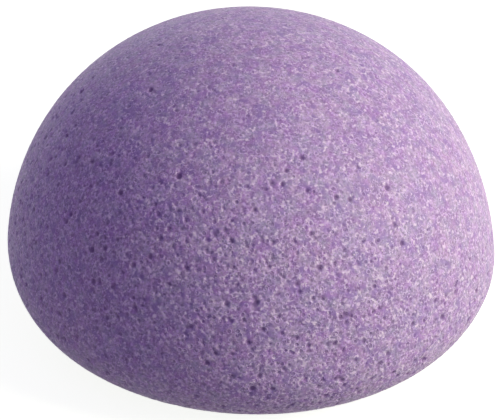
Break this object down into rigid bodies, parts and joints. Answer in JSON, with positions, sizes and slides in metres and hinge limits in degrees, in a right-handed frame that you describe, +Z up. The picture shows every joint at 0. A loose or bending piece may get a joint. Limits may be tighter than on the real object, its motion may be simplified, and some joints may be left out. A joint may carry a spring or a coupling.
{
  "type": "half-ball konjac face sponge",
  "caption": "Soft half-ball cleansing sponge with a domed crown, a rounded drawn-in rim and a flat foot face, held in the hand to wash the face.",
  "frame": {"origin": "middle of the flat foot face, which rests on the surface", "axes": "+Z up through the crown; the sponge is round about Z, so +X and +Y are free, and -Y faces the viewer of the picture"},
  "size_m": [0.08, 0.08, 0.048],
  "materials": {
    "konjac_foam": "moist open-celled lavender foam, matt with small wet glints"
  },
  "bodies": {
    "root": {"sponge_body": "konjac_foam"}
  },
  "joints": []
}
